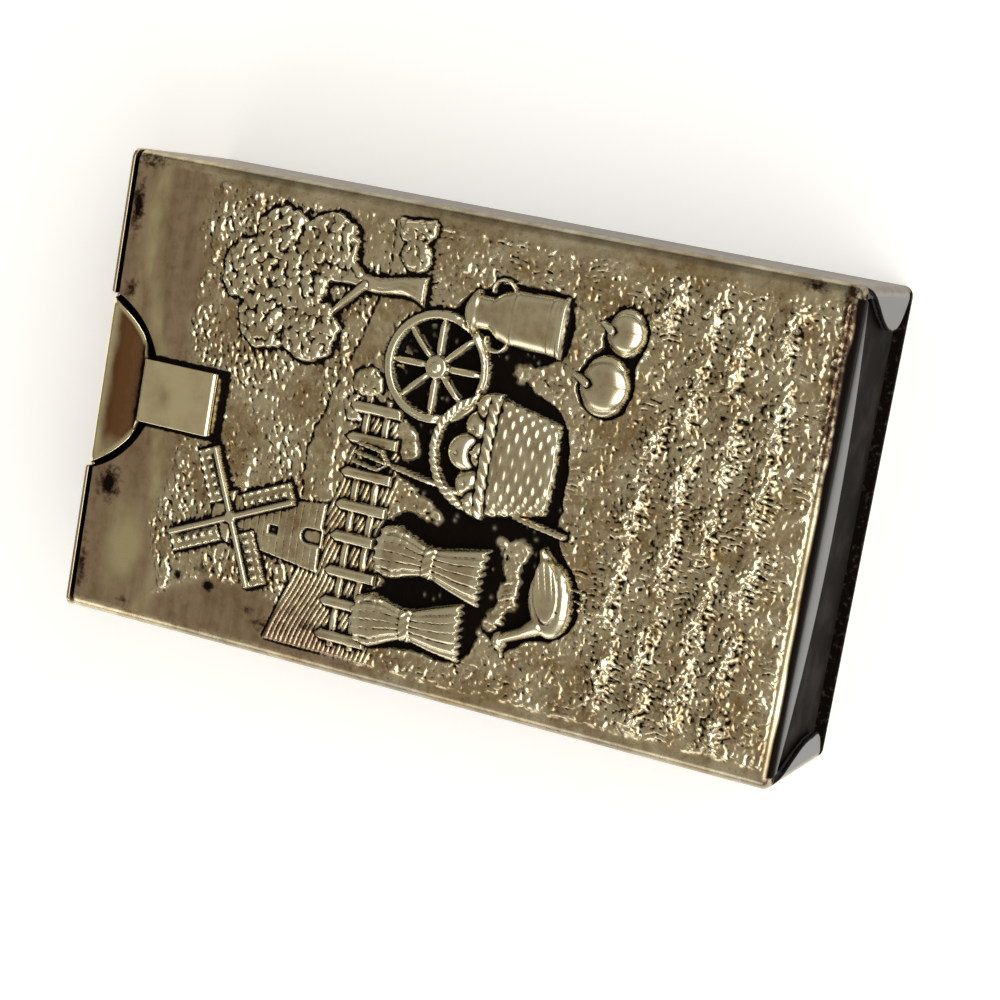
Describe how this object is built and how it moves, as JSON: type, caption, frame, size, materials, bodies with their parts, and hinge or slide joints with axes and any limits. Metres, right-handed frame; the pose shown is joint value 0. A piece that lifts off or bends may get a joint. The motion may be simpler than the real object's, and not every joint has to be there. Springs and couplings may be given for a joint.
{
  "type": "matchbox holder",
  "caption": "Flat metal matchbox holder: an embossed sheet case over a plain back, with a drawer that slides out of one end by a spring tongue and a finger opening at the other.",
  "frame": {"origin": "middle of the box at its lowest level, on the plain back that the holder lies on", "axes": "+Z out of the embossed front, X along the drawer's travel with the tongue at -X and the finger opening at +X, Y across; the picture stands upright towards -X"},
  "size_m": [0.0612, 0.038, 0.0168],
  "materials": {
    "embossed_silver": "silver-plated brass sheet, embossed, oxidised dark in the hollows and worn bright on the high places",
    "plain_silver": "silver-plated brass sheet, plain, lightly tarnished",
    "dull_silver": "silver-plated brass sheet, darkened by tarnish inside",
    "polished_silver": "silver-plated brass strip, polished by handling, with a warm cast"
  },
  "bodies": {
    "case": {"embossed_case": "embossed_silver", "back_plate": "plain_silver"},
    "drawer": {"drawer_pan": "dull_silver", "drawer_plate": "polished_silver"}
  },
  "joints": [
    {"name": "drawer_slide", "type": "slide", "parent": "case", "child": "drawer", "axis": [-1, 0, 0], "range_m": [0, 0.0615]}
  ]
}
